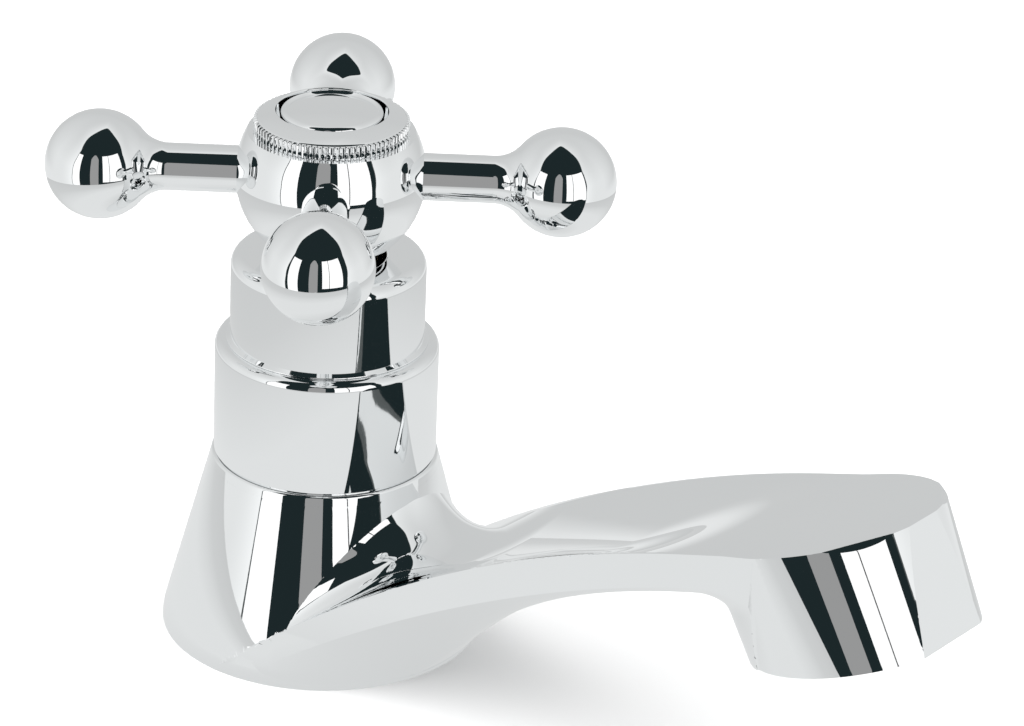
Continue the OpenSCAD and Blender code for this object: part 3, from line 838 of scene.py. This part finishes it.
def only_reflected(obj, mat):
    obj.data.materials.append(mat)
    obj.visible_camera = False
    obj.visible_diffuse = False
    obj.visible_shadow = False
    obj.visible_transmission = False


def plain_mesh(name, verts, faces, painted_shades=None):
    mesh = bpy.data.meshes.new(name)
    mesh.from_pydata([tuple(p) for p in verts], [], faces)
    if painted_shades is not None:
        # the corners' painted light and shade, read by the glow material
        layer = mesh.color_attributes.new("shade", "FLOAT_COLOR", "POINT")
        data = np.ones((len(verts), 4))
        data[:, :3] = np.asarray(painted_shades).reshape(-1, 1) * np.array([[0.985, 1.0, 1.0]])
        layer.data.foreach_set("color", data.astype(np.float32).ravel())
    mesh.update()
    obj = bpy.data.objects.new(name, mesh)
    bpy.context.scene.collection.objects.link(obj)
    return obj


def grid_faces(rows, cols, wrap=False):
    faces = []
    for i in range(rows - 1):
        for j in range(cols if wrap else cols - 1):
            m = (j + 1) % cols
            faces.append((i * cols + j, i * cols + m, (i + 1) * cols + m, (i + 1) * cols + j))
    return faces


def room():
    """The dark surroundings outside the tent."""
    radius, rows, cols = 4.0, 61, 120
    lats, lons = np.linspace(-90, 90, rows), np.linspace(-180, 180, cols, endpoint=False)
    verts = [radius * towards(lon, lat) for lat in lats for lon in lons]
    obj = plain_mesh("room", verts, grid_faces(rows, cols, True))
    only_reflected(obj, glow("room_glow", (0.013, 0.022, 0.024)))


def patch(name, lon0, lon1, lat0, lat1, value, radius=3.8, rounded=0.0):
    """A window or wall in the room. Rounded lowers the ends of its top edge, in degrees."""
    rows, cols = 25, 33
    verts = []
    for b in np.linspace(0, 1, rows):
        for a in np.linspace(0, 1, cols):
            drop = rounded * (2 * a - 1) ** 2
            verts.append(radius * towards(lon0 + (lon1 - lon0) * a, lat0 + (lat1 - drop - lat0) * b))
    only_reflected(plain_mesh(name, verts, grid_faces(rows, cols)), glow(name + "_glow", (value,) * 3))


room()
patch("window_left", -58, -37, -26, 35, 1.15)
patch("wall", -15, 2, -26, 40, 0.33, rounded=9)
patch("window_right", 11, 52, -16, 38, 1.15)
patch("post", 24.5, 25.6, -16, 38, 0.10, radius=3.7)
patch("floor_far", -70, 70, -60, -26, 0.10)

# The tent: one sheet whose opening faces the camera and arches over the top. Its points are given
# by the turn from straight up and by the angle from the camera's direction, in degrees.
OPEN_AT = [(-180, 62), (-150, 64), (-119, 64), (-90, 60), (-60, 62), (-46, 66), (-29, 82), (-15, 92),
           (0, 106), (15, 92), (29, 82), (46, 67), (60, 62), (90, 56), (119, 58), (150, 62), (180, 62)]
TENT_TURNS = np.linspace(-180, 180, 361)
TENT_R = 0.28
TENT_C = np.array([0, -0.02, 0.055])
FORWARDS, SIDEWAYS, UPWARDS = towards(0, 0), towards(90, 0), np.array([0, 0, 1.0])


def tent_opening():
    """The angle at which the sheet begins, for each turn."""
    edge = np.interp(TENT_TURNS, [o[0] for o in OPEN_AT], [o[1] for o in OPEN_AT])
    for _ in range(6):
        edge[1:-1] = (edge[:-2] + 2 * edge[1:-1] + edge[2:]) / 4
    return edge


def tent_point(turn, angle):
    t, a = math.radians(turn), math.radians(angle)
    return TENT_C + TENT_R * (FORWARDS * COS(a) + (SIDEWAYS * SIN(t) + UPWARDS * COS(t)) * SIN(a))


def tent_painted_light_and_shade(point, turn, angle, edge):
    """Painted light and shade on the glowing sheet: brighter beside the opening, darker overhead and at the
    back above table height.
    """
    lat = math.degrees(math.asin(min(max((point[2] - TENT_C[2]) / TENT_R, -1), 1)))
    near = ramp(angle, edge + 26, edge)
    painted_brightening = 0.17 if turn < 0 else 0.12
    rear = ramp(angle, 100, 145)
    # painted light beside the opening, painted shade at the back and overhead
    return (0.83 + painted_brightening * near * near - 0.21 * rear * ramp(lat, -13, -5)
            - 0.14 * (1 - rear) * ramp(lat, 10, 55))


def tent():
    """The sheet, and a dark hem along its opening."""
    opening = tent_opening()
    rows, cols = 49, len(TENT_TURNS)
    verts, painted_shades = [], []
    for share in np.linspace(0, 1, rows) ** 1.3:
        for turn, edge in zip(TENT_TURNS, opening):
            angle = edge + (180 - edge) * share
            verts.append(tent_point(turn, angle))
            # each corner's glow holds the sheet's painted light and shade
            painted_shades.append(tent_painted_light_and_shade(verts[-1], turn, angle, edge))
    only_reflected(plain_mesh("tent", verts, grid_faces(rows, cols), painted_shades), glow("tent_glow"))
    hem = [tent_point(turn, edge + off) for off in (-0.9, 0.0) for turn, edge in zip(TENT_TURNS, opening)]
    only_reflected(plain_mesh("tent_edge", hem, grid_faces(2, cols)), glow("edge_glow", (0.10, 0.11, 0.11)))


def table():
    """The table under the tap, as the tap mirrors it, glowing in painted shade: darker near the middle,
    where the tap's shadow falls, and darker towards the rim.
    """
    radii = (0, 0.03, 0.05, 0.09, 0.115, 0.135, 0.185)
    # painted shade by distance from the middle, darkest under the tap where its shadow falls
    painted_shade_at = (0.66, 0.74, 0.80, 0.80, 0.73, 0.66, 0.62)
    rows, cols = 38, 96
    verts, painted_shades = [], []
    for r in np.linspace(0.0, radii[-1], rows):
        for a in np.linspace(0, 2 * math.pi, cols, endpoint=False):
            verts.append((r * COS(a), r * SIN(a) - 0.02, 0.0))
            painted_shades.append(float(np.interp(r, radii, painted_shade_at)))
    only_reflected(plain_mesh("table", verts, grid_faces(rows, cols, True), painted_shades), glow("table_glow"))


def floor_seen():
    """The floor that the camera sees."""
    mat = node_material("floor", (0.90, 0.90, 0.90), 0, 0.7, 0.05, 3, 0.02, 60, 0.004)
    bpy.ops.mesh.primitive_plane_add(size=40, location=(0, 0, 0))
    floor = bpy.context.object
    floor.name = "floor"
    floor.data.materials.append(mat)
    floor.visible_glossy = False


def white_world():
    world = bpy.data.worlds.new("studio")
    bpy.context.scene.world = world
    world.use_nodes = True
    background = world.node_tree.nodes["Background"]
    background.inputs["Color"].default_value = (1, 1, 1, 1)
    background.inputs["Strength"].default_value = 1.0


def area(name, lon, lat, distance, size, power):
    """A round light that shines on the tap and isn't mirrored in it."""
    data = bpy.data.lights.new(name, "AREA")
    data.shape = "DISK"
    data.size = size
    data.energy = power
    obj = bpy.data.objects.new(name, data)
    bpy.context.scene.collection.objects.link(obj)
    obj.location = Vector(towards(lon, lat)) * distance
    obj.rotation_euler = obj.location.to_track_quat("Z", "Y").to_euler()
    obj.visible_glossy = False
    obj.visible_camera = False


tent()
table()
floor_seen()
white_world()
area("light_left", -50, 50, 1.2, 0.9, 9.0)
area("light_right", 60, 60, 1.4, 0.9, 8.0)


# ------------------------------------------------------------------- camera
def camera():
    back = direction(CAM_AZ, CAM_EL)
    right = Vector((COS(CAM_AZ), SIN(CAM_AZ), 0))
    up = back.cross(right)
    rolled_right = right * COS(ROLL) + up * SIN(ROLL)
    rolled_up = up * COS(ROLL) - right * SIN(ROLL)
    data = bpy.data.cameras.new("camera")
    data.sensor_width = SENSOR
    data.lens = LENS
    data.clip_start = 0.05
    data.clip_end = 60
    obj = bpy.data.objects.new("camera", data)
    bpy.context.scene.collection.objects.link(obj)
    matrix = Matrix((rolled_right, rolled_up, back)).transposed().to_4x4()
    matrix.translation = Vector(CAM_AT) * MM + back * CAM_DISTANCE
    obj.matrix_world = matrix
    bpy.context.scene.camera = obj


camera()
bpy.context.scene.view_settings.view_transform = "Standard"
bpy.context.scene.view_settings.look = "None"


def plain(bounds):
    return [[round(float(c), 6) for c in corner] for corner in bounds]
